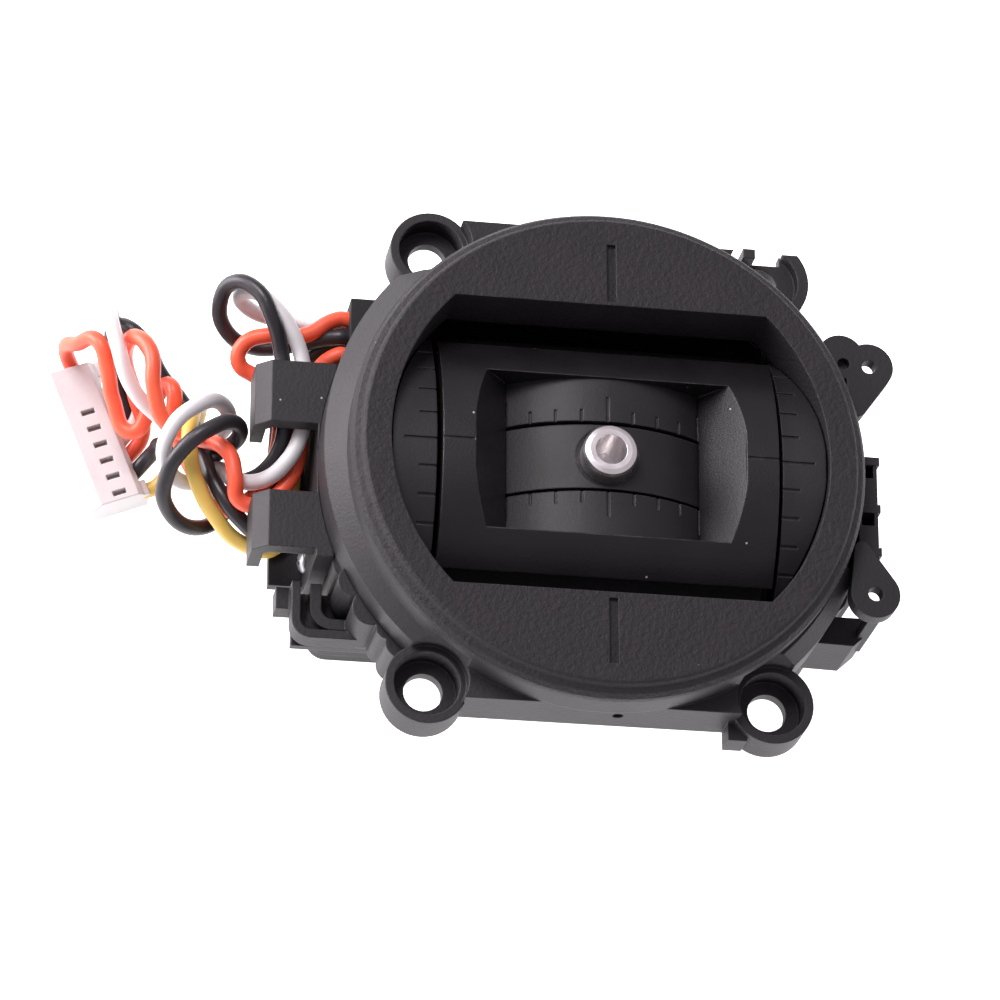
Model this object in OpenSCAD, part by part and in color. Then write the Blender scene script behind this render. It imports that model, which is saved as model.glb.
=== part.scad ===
// Two-axis stick gimbal module. The stick tilts in two yokes whose angles are read
// by magnets and sensors, and a six-wire lead carries the readings to a connector.
// Origin: centre of the four ears' hole pattern, on the ears' rear seating plane.
// +Z is the stick's axis at rest, +Y is up, +X is right when facing the stick.

/* [Front] */
// Height of the front face above the ears' seating plane
face_z = 8.9; // [8.7:0.1:9.1]
// Radius of the flat front face
face_r = 19.5; // [19.2:0.1:19.8]
// Radius of the round housing ring
ring_r = 20.6; // [20.4:0.1:20.8]
// Half height of the front opening
opening_y = 12.2; // [12.1:0.1:12.4]
// Radius of the opening's left and right ends
opening_r = 17.5; // [17.3:0.1:17.7]

/* [Ears] */
// Hole spacing across
ear_x = 27.4; // [27:0.2:28]
// Hole spacing up and down
ear_y = 37.1; // [36.7:0.2:37.5]
// Radius of an ear's outside
ear_r = 3.3; // [3.1:0.1:3.5]
// Radius of a mounting hole
ear_hole_r = 1.55; // [1.4:0.05:1.7]
// Radius of the recess around a mounting hole
ear_recess_r = 2.6; // [2.4:0.1:2.8]
// Height of an ear
ear_h = 3.3; // [3:0.1:3.6]

/* [Gimbal] */
// Height of both tilt axes
axis_z = -6.3; // [-6.4:0.1:-6.2]
// Radius of the pitch yoke's curved shell
yoke_r = 15; // [14.8:0.1:15.1]
// Half width of the pitch yoke
yoke_x = 13.4; // [13.3:0.1:13.5]
// Radius of the roll scale's curved bands
band_r = 13.2; // [13.1:0.1:13.3]
// Half width of the stick's curved band
slot_y = 2.7; // [2.5:0.1:2.8]
// Radius of the metal stick stub
stub_r = 2.2; // [2:0.1:2.4]
// Height of the stub's end face
stub_z = 8.4; // [8:0.1:8.6]
// Radius of the stub's threaded hole
stub_hole_r = 1.25; // [1.1:0.05:1.4]
// Angle between two ticks of a scale
tick_deg = 9; // [8:1:9]

/* [Body] */
// Height of the rear face
rear_z = -18; // [-18.4:0.1:-17.8]
// Half width of the rear body
body_x = 15; // [14.9:0.1:15.2]
// Half height of the rear body
body_y = 16; // [15.8:0.1:16.1]
// Half width over the two side boxes
side_x = 20.8; // [20.7:0.1:20.9]
// Half height of a side box
side_y = 9.3; // [9.3:0.1:9.5]
// Wall thickness of the rear body
wall = 1.3; // [1.2:0.1:1.4]

/* [Cable] */
// Outer diameter of a wire
wire_d = 1.3; // [1.2:0.05:1.4]
// Distance between two contacts of the connector
contact_pitch = 1.5; // [1.4:0.1:1.5]

/* [Hidden] */
$fn = 64;
e = 0.01;
wire_r = wire_d / 2;
plate_z = 7.2;        // underside of the bezel plate, and top of the housing ring
ring_z = 4.6;         // underside of the overhanging ring
collar = 0.9;         // wall of the bezel's collar
collar_z = 4;         // lower end of the bezel's collar
cover_z = -16.5;      // where the back cover meets the housing
cover_screw = [15.3, 3.6]; // places of the back cover's screws
skin = 1.1;           // wall of the rear body between its side boxes
corner_r = 20.1;      // radius of the rear body's corners near the ears
rear_r = 13.7;        // radius of the rear body's corners at the rear face
taper_z = -3.2;       // where these corners start to close in
sweep_r = 16;         // radius of the rounded top and bottom, about the pitch axis
yoke_deg = 40;        // half angle of the yoke's shell
skirt_deg = 50;       // half angle of the lower step beside the shell
skirt_r = 14.4;       // radius of that step
shell_in_r = 13.3;    // inside radius of shell and step
plate_x = 12.5;       // inside of the yoke's end plates
window_x = 10.8;      // half width of the yoke's window, at the shell
window_low_x = 7.7;   // half width of the window, at the bands
window_y = 6.7;       // half height of the window
web_y = 8;            // outside of the yoke's two webs
band_t = 1.2;         // thickness of a curved band
saddle_r = 14.5;      // radius of the fixed pitch scales
saddle_in_r = 12.6;   // inside radius of the fixed pitch scales
saddle_deg = 51;      // half angle of the fixed pitch scales
cheek_x = 13.8;       // inside face of the housing's cheeks
cheek_out_x = 16.8;   // outside face of the housing's cheeks
trunnion_r = 2;       // pitch trunnions
roll_pin_r = 1.5;     // roll shaft
run = 0.05;           // radial running clearance
cam_r = 4;            // centring cams
cam_flat = 3.3;       // distance from the axis to a cam's flat
lever_z = -1.1;       // middle of both centring levers
lever_t = 1.4;        // thickness of both centring levers
lever_pin_at = -6.4;  // pivot of a lever, along the lever
lever_end = 6.6;      // spring hook of a lever, along the lever
lever_pin_r = 0.7;    // lever pivots
roll_drive_y = -9.3;  // middle plane of the roll cam, lever and spring
pitch_drive_x = -17.9; // middle plane of the pitch cam, lever and spring
coil_r = 0.85;        // centring springs, to the middle of the wire
coil_wire_r = 0.2;    // wire of the centring springs
nut_z = -10.2;        // middle of the tension nut
hook_top_z = 0.5;     // top faces of the cable hooks
hook_x = -27.2;       // outer end of the cable hooks
guide_x = -22.2;      // outer face of the cable guide's wall
lug_z = 6;            // top faces of the side lugs
lug_x = 21.6;         // hole centres of the side lugs
lug_y = 9.8;          // hole centres of the side lugs
comb_d = 1.8;         // how far the ribbed block stands out
comb_z = 4.4;         // top of the ribbed block
guide_screw_z = -6.95; // height of the cable guide's screws
plug_at = [-39.09, 8.13, -16.2]; // centre of the connector
plug_turn = 22.2;     // turn of the connector about Z
plug_size = [4.7, 12.4, 3.2];
contact_row = [0.35, -1.8]; // middle of the contacts' row, from the connector's centre

// Routes of the six wires from the outlet to the connector.
route_red_a = [
  [-19.6, 14.4, -2.2], [-20.4, 14.4, -2.2], [-23.2, 12.8, -2.4], [-26, 12.8, -2.8], [-27.9, 12.2, -3.6],
  [-28.2, 10.9, -4.4], [-26.8, 10, -4.8], [-25.2, 9, -4.4], [-24.8, 6.4, -3.8], [-25, 3, -5.6],
  [-26.2, 0.6, -6.6], [-28.8, -0.8, -7.4], [-31, 2.6, -8.8], [-33, 6.4, -7.2], [-33.4, 9.2, -6.2],
  [-34.6, 9, -9], [-36.2, 7, -11], [-37.8, 9.6, -10.4], [-38.4, 11.4, -9], [-39.4, 13.8, -8.4],
  [-40.8, 14.4, -10.6], [-41.6, 15.2, -13.6], [-40.5, 13.8, -16.2]
];
route_red_b = [
  [-19.6, 11.2, -2.2], [-20.4, 11.2, -2.2], [-22.2, 9.6, -3.2], [-23.2, 6, -3.4], [-23.2, 3, -3.4],
  [-24.2, 0.2, -3.8], [-26.2, -1.6, -3.8], [-28, -1.4, -3.6], [-28.4, 0.2, -2.8], [-29, 2.4, -3],
  [-31.8, 4.6, -5.4], [-33.8, 5.4, -5.2], [-35, 7.8, -4], [-35.4, 11, -3.6], [-36.4, 12.6, -4.6],
  [-37, 13.2, -7.2], [-36.8, 12.6, -10.6], [-35.8, 11.2, -13], [-34.9, 8.6, -15.2], [-36.3, 6.5, -16.2]
];
route_black_a = [
  [-19.6, 12.8, -2.2], [-20.4, 12.8, -2.2], [-24, 13, -5], [-27, 13, -5.8], [-29.2, 13.8, -4.8],
  [-30, 15.4, -2.8], [-29.2, 16.4, -1], [-27.4, 15.4, 0.2], [-26, 13, 0], [-25, 10.4, -1.6],
  [-24.6, 6, -2.2], [-24.8, 3.2, -3.4], [-26, 1.6, -4.8], [-28, 1, -6.8], [-28.2, 0.2, -9.2],
  [-31, -2.2, -8.2], [-33.6, -1.4, -5.8], [-33.8, 0.2, -3.4], [-32.6, 2, -1.6], [-30.8, 3.4, -1],
  [-28.8, 4.6, -2], [-28, 4.4, -4], [-29.2, 3.8, -6.2], [-31, 4.6, -10], [-33.6, 6.2, -11.4],
  [-34, 6.6, -13.8], [-35.75, 5.1, -16.2]
];
route_black_b = [
  [-19.6, 12.8, -3.8], [-20.4, 12.8, -3.8], [-23.4, 11.2, -6.6], [-24.8, 8.8, -6.2], [-24.8, 6.2, -5.4],
  [-24.8, 3.2, -7.2], [-25, 0.2, -7.6], [-25.8, -3.2, -6.2], [-27.6, -2.4, -5.4], [-29.4, -0.2, -5],
  [-30.6, 3, -6], [-32, 8.6, -8.8], [-34.2, 11.2, -8.2], [-35.4, 13.6, -8.2], [-36.8, 14.8, -7.8],
  [-38, 15.6, -9.6], [-37.8, 15, -12], [-37, 12.6, -14], [-36.2, 10.6, -15.6], [-37.5, 9.3, -16.2]
];
route_white = [
  [-19.6, 14.4, -3.8], [-20.4, 14.4, -3.8], [-24, 15.4, -5.2], [-27, 15.6, -4.6], [-28.4, 16.2, -3],
  [-27.4, 16, -1.6], [-25.8, 14.6, -1], [-24.4, 12.6, -1], [-23.4, 10.4, -1.6], [-23, 6.2, -1.9],
  [-23.4, 3.6, -1.9], [-24.4, 1.6, -2.4], [-26, 0.4, -3.4], [-28, 0.6, -4.6], [-29.8, 2.6, -7.2],
  [-31.8, 1, -6.6], [-34, 1.8, -3.8], [-33.6, 3.8, -1.8], [-32, 5.4, -1.4], [-29.8, 6.8, -3.2],
  [-28.8, 6.2, -6.4], [-31, 5.8, -9], [-34, 7.4, -8.6], [-36.6, 9, -6.4], [-38, 12.2, -5.2],
  [-38.6, 15.8, -7], [-38, 17.2, -11.2], [-36.4, 14, -14.2], [-35.4, 10.4, -15.4], [-36.9, 7.9, -16.2]
];
route_yellow = [
  [-19.6, 11.2, -3.8], [-20.4, 11.2, -3.8], [-22.2, 9.8, -5.2], [-23.2, 5.8, -5.2], [-23.4, 2.8, -5.4],
  [-23.6, -0.2, -6], [-24.6, -3.8, -7.4], [-27.4, -3.6, -7.2], [-29.6, -2, -6], [-31.2, 0.2, -4.8],
  [-32, 3, -4], [-31.6, 7, -5.6], [-30.9, 8.6, -8], [-31, 8, -11], [-32.2, 6.4, -13.6],
  [-33.4, 4.4, -15.6], [-35.2, 3.75, -16.2]
];

// ---- Shared shapes ----

// A box between two opposite corners.
module box(a, b) {
  translate(a) cube(b - a);
}

// A round rod along X.
module rod_x(r, x0, x1, y = 0, z = axis_z) {
  translate([x0, y, z]) rotate([0, 90, 0]) cylinder(r = r, h = x1 - x0);
}

// A round rod along Y.
module rod_y(r, y0, y1, x = 0, z = axis_z) {
  translate([x, y1, z]) rotate([90, 0, 0]) cylinder(r = r, h = y1 - y0);
}

// A ring's sector about the pitch axis, centred on +Z.
module arc_x(r0, r1, x0, x1, half) {
  translate([x0, 0, axis_z]) rotate([0, 90, 0]) rotate([0, 0, 180 - half])
    rotate_extrude(angle = 2 * half) translate([r0, 0]) square([r1 - r0, x1 - x0]);
}

// A ring's sector about the roll axis, centred on +Z.
module arc_y(r0, r1, y0, y1, half) {
  translate([0, y1, axis_z]) rotate([90, 0, 0]) rotate([0, 0, 90 - half])
    rotate_extrude(angle = 2 * half) translate([r0, 0]) square([r1 - r0, y1 - y0]);
}

// The outline of the front opening, grown by a margin.
module opening_outline(margin) {
  intersection() {
    circle(r = opening_r + margin, $fn = 128);
    square([60, 2 * (opening_y + margin)], center = true);
  }
}

// A rectangle with round corners.
module round_box_outline(x, y, r) {
  hull() {
    for (sx = [-1, 1], sy = [-1, 1]) {
      translate([sx * (x - r), sy * (y - r)]) circle(r = r, $fn = 32);
    }
  }
}

// A screw with a pan head and a cross recess, head up, underside of the head at z = 0.
module screw(head_r, head_h, r, length) {
  w = head_r * 0.62;
  t = head_r * 0.14;
  difference() {
    union() {
      cylinder(r = head_r, h = head_h);
      translate([0, 0, -length]) cylinder(r = r, h = length + e);
    }
    for (a = [0, 90]) {
      rotate([0, 0, a]) box([-w, -t, head_h * 0.4], [w, t, head_h + 1]);
    }
  }
}

// ---- Fixed body ----

module bezel_profile() {
  polygon([
    [0, plate_z], [ring_r, plate_z], [ring_r, face_z - 1.2], [ring_r - 0.3, face_z - 0.75],
    [face_r + 0.35, face_z - 0.5], [face_r + 0.2, face_z - 0.15], [face_r, face_z], [0, face_z]
  ]);
}

module front_bezel() {
  color("#2b2930") difference() {
    union() {
      rotate_extrude($fn = 128) bezel_profile();
      translate([0, 0, collar_z]) linear_extrude(plate_z - collar_z + e) opening_outline(collar);
    }
    translate([0, 0, collar_z - 1]) linear_extrude(face_z) opening_outline(0);
    // Index grooves above and below the opening.
    box([-0.35, opening_y + 0.3, face_z - 0.35], [0.35, opening_y + 5.3, face_z + 1]);
    box([-0.35, -opening_y - 5.9, face_z - 0.35], [0.35, -opening_y - 0.5, face_z + 1]);
  }
}

// One ear, standing on its seating plane.
module ear() {
  difference() {
    cylinder(r = ear_r, h = ear_h);
    translate([0, 0, -1]) cylinder(r = ear_hole_r, h = ear_h + 2);
    translate([0, 0, 1.1]) cylinder(r = ear_recess_r, h = ear_h);
  }
}

// The ear whose wall stands only on its outer side.
module open_ear() {
  difference() {
    union() {
      cylinder(r = ear_r, h = 1.1);
      intersection() {
        cylinder(r = 4, h = 2.2);
        box([1.8, -3.4, 0], [4.5, 2.5, 2.2]);
      }
    }
    translate([0, 0, -1]) cylinder(r = ear_hole_r, h = 5);
    translate([0, 0, 1.1]) cylinder(r = 3.1, h = 3);
    box([-5, 1.9, -1], [1.8, 5, 5]);
  }
  box([-1.6, 1.6, 0], [-0.6, 2.4, 3]);
}

module ears() {
  translate([-ear_x / 2, ear_y / 2, 0]) ear();
  translate([-ear_x / 2, -ear_y / 2, 0]) ear();
  translate([ear_x / 2, -ear_y / 2, 0]) ear();
  translate([ear_x / 2, ear_y / 2, 0]) open_ear();
  // Foot block beside the lower right ear.
  box([ear_x / 2 - 3.4, -ear_y / 2 - 2.9, 0], [ear_x / 2 - 1.9, -ear_y / 2 - 0.8, 2.4]);
}

// The rear body without its side boxes, between two heights, shrunk by an inset.
module rear_block(inset, half_x, z0, z1) {
  intersection() {
    box([-half_x, -body_y + inset, z0], [half_x, body_y - inset, z1]);
    union() {
      translate([0, 0, taper_z]) cylinder(r = corner_r - 0.8 * inset, h = 20, $fn = 128);
      translate([0, 0, rear_z])
        cylinder(r1 = rear_r - 0.8 * inset, r2 = corner_r - 0.8 * inset, h = taper_z - rear_z + e, $fn = 128);
    }
    union() {
      box([-half_x - 1, -30, axis_z], [half_x + 1, 30, 20]);
      rod_x(sweep_r - inset, -half_x - 1, half_x + 1);
    }
  }
}

// The whole rear body from a height up to the ears' plane, grown by a margin.
module rear_body(margin, z0) {
  rear_block(-margin, body_x + margin, z0, e);
  translate([0, 0, z0]) linear_extrude(e - z0) round_box_outline(side_x + margin, side_y + margin, 1.6);
}

// A conical shoulder around the ring.
module shoulder(y, r, h, margin) {
  translate([0, y, -margin]) cylinder(r = r + margin, h = h + margin + e, $fn = 128);
  translate([0, y, h]) cylinder(r1 = r + margin, r2 = 20.4 + margin, h = 6.2 - h, $fn = 128);
}

module left_shoulder(margin) {
  intersection() {
    shoulder(0.8, 22.2, 4.2, margin);
    box([-24, -15.7 - margin, -1], [-8, 15.6 + margin, 8]);
  }
}

module right_shoulder(margin) {
  intersection() {
    shoulder(-0.6, 21.5, 4.6, margin);
    box([8, -15.7 - margin, -1], [24, -7.6 + margin, 8]);
  }
}

module housing_outside() {
  translate([0, 0, ring_z]) cylinder(r = ring_r, h = plate_z - ring_z, $fn = 128);
  cylinder(r = 20, h = ring_z + e, $fn = 128);
  box([-12.6, -20, 0], [12.6, 20, ring_z]);
  // Block on the upper wall.
  box([-11.6, 15, 0], [-3, 20.6, 5]);
  rear_body(0, cover_z);
  left_shoulder(0);
  right_shoulder(0);
}

module housing() {
  color("#232126") {
    difference() {
      housing_outside();
      // Main cavity, open at the front and at the rear.
      rear_block(skin, cheek_x, rear_z, 0.5);
      intersection() {
        box([-cheek_x, -body_y + skin, 0], [cheek_x, body_y - skin, plate_z + 1]);
        cylinder(r = 19.3, h = 20, $fn = 128);
      }
      // Side cavities.
      box([-side_x + wall, -side_y + wall, cover_z - 1], [-cheek_out_x, side_y - wall, 2.6]);
      box([cheek_out_x, -side_y + wall, cover_z - 1], [side_x - wall, side_y - wall, -0.45]);
      // Room for the bezel's collar and for the fixed scales.
      difference() {
        intersection() {
          translate([0, 0, 1.5]) cylinder(r = 18.6, h = 10);
          box([-30, -body_y + 1.4, 1], [30, body_y - 1.4, 12]);
        }
        for (s = [0, 1]) {
          mirror([s, 0, 0]) rod_x(saddle_in_r - 0.1, cheek_x, 17.3);
          mirror([s, 0, 0]) box([17.3 - e, -20, 0], [20, 20, collar_z - 0.1]);
        }
      }
      // Groove of the bezel's collar.
      translate([0, 0, collar_z - 0.1]) linear_extrude(10) difference() {
        opening_outline(collar + 0.1);
        opening_outline(-0.1);
      }
      // Bores of the bushes.
      rod_x(3.5, -cheek_out_x - e, -cheek_x + e);
      rod_x(3.5, cheek_x - e, cheek_out_x + e);
      // Window behind the pitch sensor cover.
      box([side_x - wall - 1, -7.2, -13.5], [side_x + 1, 7.2, 2]);
      // Holes of the lever pin.
      rod_x(lever_pin_r, -side_x + 0.5, -cheek_out_x + 1.5, lever_pin_at, lever_z);
      // Recesses under the ears' holes.
      for (sx = [-1, 1], sy = [-1, 1]) {
        translate([sx * ear_x / 2, sy * ear_y / 2, -1]) cylinder(r = ear_r - 0.2, h = 9 - 1.5);
      }
      // Wire passage of the outlet.
      box([-body_x - 1, 10.4, -4.9], [-cheek_x + 1, 13.8, -1.1]);
      // Holes of the back cover's screws.
      for (sx = [-1, 1], sy = [-1, 1]) {
        translate([sx * cover_screw[0], sy * cover_screw[1], cover_z - 1]) cylinder(r = 0.8, h = 7);
      }
      // Small dimple in the lower wall.
      rod_y(0.45, -20.5, -19.6, 1.5, 2.4);
    }
    ears();
    // Boss that carries the tension screw.
    difference() {
      box([-side_x + wall - e, lever_end - 1.6, -15], [-cheek_out_x + e, side_y - wall + e, -13]);
      translate([pitch_drive_x, lever_end, -16]) cylinder(r = 0.65, h = 4);
    }
  }
}

module back_cover() {
  color("#232126") difference() {
    translate([0, 0, rear_z]) linear_extrude(cover_z - rear_z) {
      intersection() {
        circle(r = rear_r, $fn = 128);
        square([40, 24.4], center = true);
      }
      round_box_outline(side_x - 0.15, side_y - 0.15, 1.6);
    }
    for (sx = [-1, 1], sy = [-1, 1]) {
      translate([sx * cover_screw[0], sy * cover_screw[1], rear_z - 1]) cylinder(r = 0.9, h = 4);
      translate([sx * cover_screw[0], sy * cover_screw[1], rear_z - 1]) cylinder(r = 1.9, h = 1.9);
    }
    translate([pitch_drive_x, lever_end, rear_z - 1]) cylinder(r = 1.5, h = 4);
    // Raised panel line.
    translate([0, 0, rear_z - 1]) linear_extrude(1.3) difference() {
      square([16, 16], center = true);
      square([15, 15], center = true);
    }
  }
}

module back_cover_screws() {
  color("#8d9096") for (sx = [-1, 1], sy = [-1, 1]) {
    translate([sx * cover_screw[0], sy * cover_screw[1], rear_z + 0.9])
      rotate([180, 0, 0]) screw(1.7, 0.8, 0.75, 5);
  }
}

// The fixed scale beside the yoke, on the right.
module pitch_scale() {
  difference() {
    intersection() {
      arc_x(saddle_in_r, saddle_r, cheek_x, 17.3, saddle_deg);
      translate([0, 0, -5]) cylinder(r = opening_r - 0.15, h = 20, $fn = 128);
    }
    for (i = [-4 : 4]) {
      len = (i == 0) ? 2.6 : 1.4;
      translate([cheek_x - 1, 0, axis_z]) rotate([i * tick_deg, 0, 0])
        box([0, -0.11, saddle_r - 0.15], [len + 1, 0.11, saddle_r + 1]);
    }
  }
}

module pitch_scale_right() {
  color("#29272d") pitch_scale();
}

module pitch_scale_left() {
  color("#29272d") mirror([1, 0, 0]) pitch_scale();
}

module bush(r0, r1, length) {
  rotate_extrude() translate([r0, 0]) square([r1 - r0, length]);
}

module pitch_bush_right() {
  color("#b08d4f") translate([cheek_x, 0, axis_z]) rotate([0, 90, 0])
    bush(trunnion_r + run, 3.48, cheek_out_x - cheek_x);
}

module pitch_bush_left() {
  color("#b08d4f") mirror([1, 0, 0]) translate([cheek_x, 0, axis_z]) rotate([0, 90, 0])
    bush(trunnion_r + run, 3.48, cheek_out_x - cheek_x);
}

// One cable hook between two heights, open below, with a chamfered lip.
module hook(y0, y1) {
  translate([0, y1, 0]) rotate([90, 0, 0]) linear_extrude(y1 - y0) polygon([
    [guide_x + 0.6, hook_top_z], [hook_x + 1.2, hook_top_z], [hook_x, hook_top_z - 1.2], [hook_x, -4.2],
    [hook_x + 1, -4.2], [hook_x + 1, -1.4], [hook_x + 1.4, hook_top_z - 1.4], [guide_x + 0.6, hook_top_z - 1.4]
  ]);
}

module cable_guide() {
  color("#27252a") difference() {
    union() {
      box([guide_x, -7.4, -9], [-side_x - 0.01, 9.2, hook_top_z]);
      hook(3.9, 9.2);
      hook(-6.8, -2);
      // Shelf under the wires.
      box([-25, -6.8, -9], [guide_x + e, 9.2, -8]);
    }
    for (y = [-5, 6]) {
      rod_x(0.7, guide_x - 1, -side_x + 1, y, guide_screw_z);
    }
    // Cut-back corner where the wires come in.
    translate([0, 0, -7.9]) linear_extrude(6.95)
      polygon([[guide_x - 0.1, 6.6], [guide_x - 0.1, 9.5], [-21.4, 9.5], [-21.4, 9.2]]);
    left_shoulder(0.02);
  }
}

module guide_screws() {
  color("#8d9096") for (y = [-5, 6]) {
    translate([guide_x, y, guide_screw_z]) rotate([0, -90, 0]) screw(1, 0.6, 0.65, 1.3);
  }
}

// One lug, a flat tab that narrows towards its post.
module lug(s) {
  hull() {
    translate([lug_x, s * lug_y, 4.7]) cylinder(r = 2, h = lug_z - 4.7, $fn = 32);
    translate([20.6, s * 6, 4.7]) cylinder(r = 0.6, h = lug_z - 4.7, $fn = 32);
  }
}

module side_bracket() {
  color("#2a282e") difference() {
    union() {
      lug(1);
      lug(-1);
      // Second bump of the upper lug.
      translate([19.3, 10.5, 4.7]) cylinder(r = 1.9, h = lug_z - 4.7);
      // Bar and posts that join the lugs.
      box([19.6, -7.5, 2.1], [side_x - 0.05, 9.4, 3.4]);
      box([20.1, 6.2, 2.1], [21.2, 8.4, 5.9]);
      box([20.1, -7.5, 2.1], [21.2, -6.35, 5.9]);
      // Foot under the lower lug.
      translate([0, 0, -5.8]) linear_extrude(5.78) polygon([
        [17, -9.6], [17, -11.2], [17.6, -11.9], [21.2, -12], [22.5, -10.8], [22.5, -9.6]
      ]);
      box([21.5, -11.3, -3], [22.4, -10.55, 5]);
    }
    for (s = [-1, 1]) {
      translate([lug_x, s * lug_y, 3]) cylinder(r = 0.6, h = 10);
    }
    translate([19.5, 9.9, lug_z - 0.8]) cylinder(r = 0.5, h = 2);
    // Clear of the housing and of the bezel.
    translate([0, 0, -1]) cylinder(r = 20.02, h = ring_z + 1 + e, $fn = 128);
    translate([0, 0, ring_z - e]) cylinder(r = ring_r + 0.02, h = 5, $fn = 128);
    right_shoulder(0.02);
    rear_body(0.02, -12);
  }
}

// A thin rib with one round bend, seen from the front.
module bent_rib(x, y, w, l, r, t) {
  translate([x, y]) {
    translate([r - e, 0]) square([w - r, t]);
    translate([0, r - e]) square([t, l - r]);
    intersection() {
      translate([r, r]) difference() {
        circle(r = r);
        circle(r = r - t);
      }
      square([r, r]);
    }
  }
}

module left_bracket() {
  color("#3a373d") difference() {
    union() {
      translate([0, 0, -4.4]) linear_extrude(2) bent_rib(-23.7, -13.2, 8, 5.6, 1.6, 0.7);
      translate([0, 0, -6]) linear_extrude(3.2) bent_rib(-22.2, -12.3, 7, 5, 1.8, 0.9);
      translate([0, 0, -6]) linear_extrude(0.8) translate([-23.4, -12.9]) square([8, 5]);
      box([-24.8, -10.3, -6], [-23.2, -8.5, -4]);
      // Round bosses that step down beside the ring.
      for (p = [[-19.3, -9.7, 1.25], [-17.9, -11.8, 1.5], [-16.5, -13.4, 1], [-15.4, -14.6, 1.35]]) {
        translate([p[0], p[1], -4]) cylinder(r = p[2], h = 5.4);
      }
    }
    left_shoulder(0.02);
    rear_body(0.02, -12);
    translate([0, 0, -e]) cylinder(r = 20.02, h = 8, $fn = 128);
    translate([-ear_x / 2, -ear_y / 2, -e]) cylinder(r = ear_r + 0.02, h = 5);
    box([-27, -8.5, -12], [-20, 0, 4]);
  }
}

module wire_outlet() {
  color("#1b1b1d") {
    box([-19.6, 10, -5.4], [-body_x, 15.6, -0.6]);
    box([-body_x - e, 10.5, -4.8], [-cheek_x, 13.7, -1.2]);
  }
}

module pitch_sensor_cover() {
  color("#222024") difference() {
    union() {
      box([side_x - 0.9, -7, -13.3], [side_x, 7, 1.8]);
      box([side_x - e, -6.2, -13.3], [side_x + comb_d - 0.2, 2.4, comb_z]);
      for (y = [2.2, -1.9, -5.6]) {
        box([side_x - e, y - 0.35, -13.3], [side_x + comb_d, y + 0.35, comb_z + 0.1]);
      }
    }
    // Pockets under the ribs.
    for (y = [1.85, -2.25, -5.95]) {
      box([side_x + 0.25, y - 1.1, comb_z - 3], [side_x + comb_d - 0.5, y, comb_z + 1]);
    }
  }
}

module pitch_sensor_board() {
  color("#1f5d3a") box([side_x - 1.9, -6.5, -12], [side_x - 0.9, 6.5, -0.6]);
}

module pitch_sensor_chip() {
  color("#1a1a1a") box([side_x - 2.5, -2, axis_z - 2], [side_x - 1.9, 2, axis_z + 2]);
}

// ---- Centring levers, springs and tension screw ----

// A lever that runs along X, with its pivot bore along Y, centred on y = 0.
module lever(width) {
  difference() {
    union() {
      box([lever_pin_at, -width / 2, lever_z - lever_t / 2], [lever_end + 0.9, width / 2, lever_z + lever_t / 2]);
      rod_y(1.5, -width / 2, width / 2, lever_pin_at, lever_z);
    }
    rod_y(lever_pin_r + run, -width, width, lever_pin_at, lever_z);
  }
}

module pitch_lever() {
  color("#c9c6bd") translate([pitch_drive_x, 0, 0]) rotate([0, 0, 90]) lever(1.5);
}

module pitch_lever_pin() {
  color("#a8abb0") rod_x(lever_pin_r - 0.01, -side_x + 0.5, -cheek_out_x + 1.5, lever_pin_at, lever_z);
}

module roll_lever() {
  color("#c9c6bd") translate([0, roll_drive_y, 0]) lever(1.5);
}

module roll_lever_pin() {
  color("#a8abb0") rod_y(lever_pin_r, roll_drive_y - 1.2, -web_y + 0.8, lever_pin_at, lever_z);
}

// A tension spring along Z, as a swept coil between two heights.
module spring(z0, z1, turns) {
  steps = 8;
  count = turns * steps;
  points = [
    for (i = [0 : count])
      let (a = i * 360 / steps, z = z0 + (z1 - z0) * i / count)
      [coil_r * cos(a), coil_r * sin(a), z]
  ];
  tube(points, coil_wire_r, 5);
}

module pitch_spring() {
  color("#c8cacd") translate([pitch_drive_x, lever_end, 0])
    spring(nut_z + 0.8, lever_z - lever_t / 2 - 0.2, 8);
}

module roll_spring() {
  color("#c8cacd") translate([lever_end, roll_drive_y, 0])
    spring(-10, lever_z - lever_t / 2 - 0.2, 8);
}

module tension_screw() {
  color("#8d9096") translate([pitch_drive_x, lever_end, cover_z - 0.5]) rotate([180, 0, 0])
    screw(1.35, 0.8, 0.6, 6.6);
}

module tension_nut() {
  color("#b08d4f") difference() {
    box([pitch_drive_x - 1, lever_end - 1.3, nut_z - 0.6], [pitch_drive_x + 1, lever_end + 1.3, nut_z + 0.6]);
    translate([pitch_drive_x, lever_end, nut_z - 2]) cylinder(r = 0.6 + run, h = 4);
  }
}

// ---- Pitch yoke ----

// The tapering window through the yoke's front.
module window_prism() {
  translate([0, window_y, 0]) rotate([90, 0, 0]) linear_extrude(2 * window_y) polygon([
    [-window_low_x, -8], [-window_low_x, axis_z + 10.7], [-window_x, axis_z + yoke_r - 0.2], [-window_x, 12],
    [window_x, 12], [window_x, axis_z + yoke_r - 0.2], [window_low_x, axis_z + 10.7], [window_low_x, -8]
  ]);
}

// The part of the yoke that fills the space beside its window.
module window_block() {
  difference() {
    intersection() {
      rod_x(yoke_r, -plate_x - 0.1, plate_x + 0.1);
      box([-13, -window_y - 1.2, axis_z], [13, window_y + 1.2, 12]);
    }
    rod_y(band_r + 0.15, -10, 10);
  }
}

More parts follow.
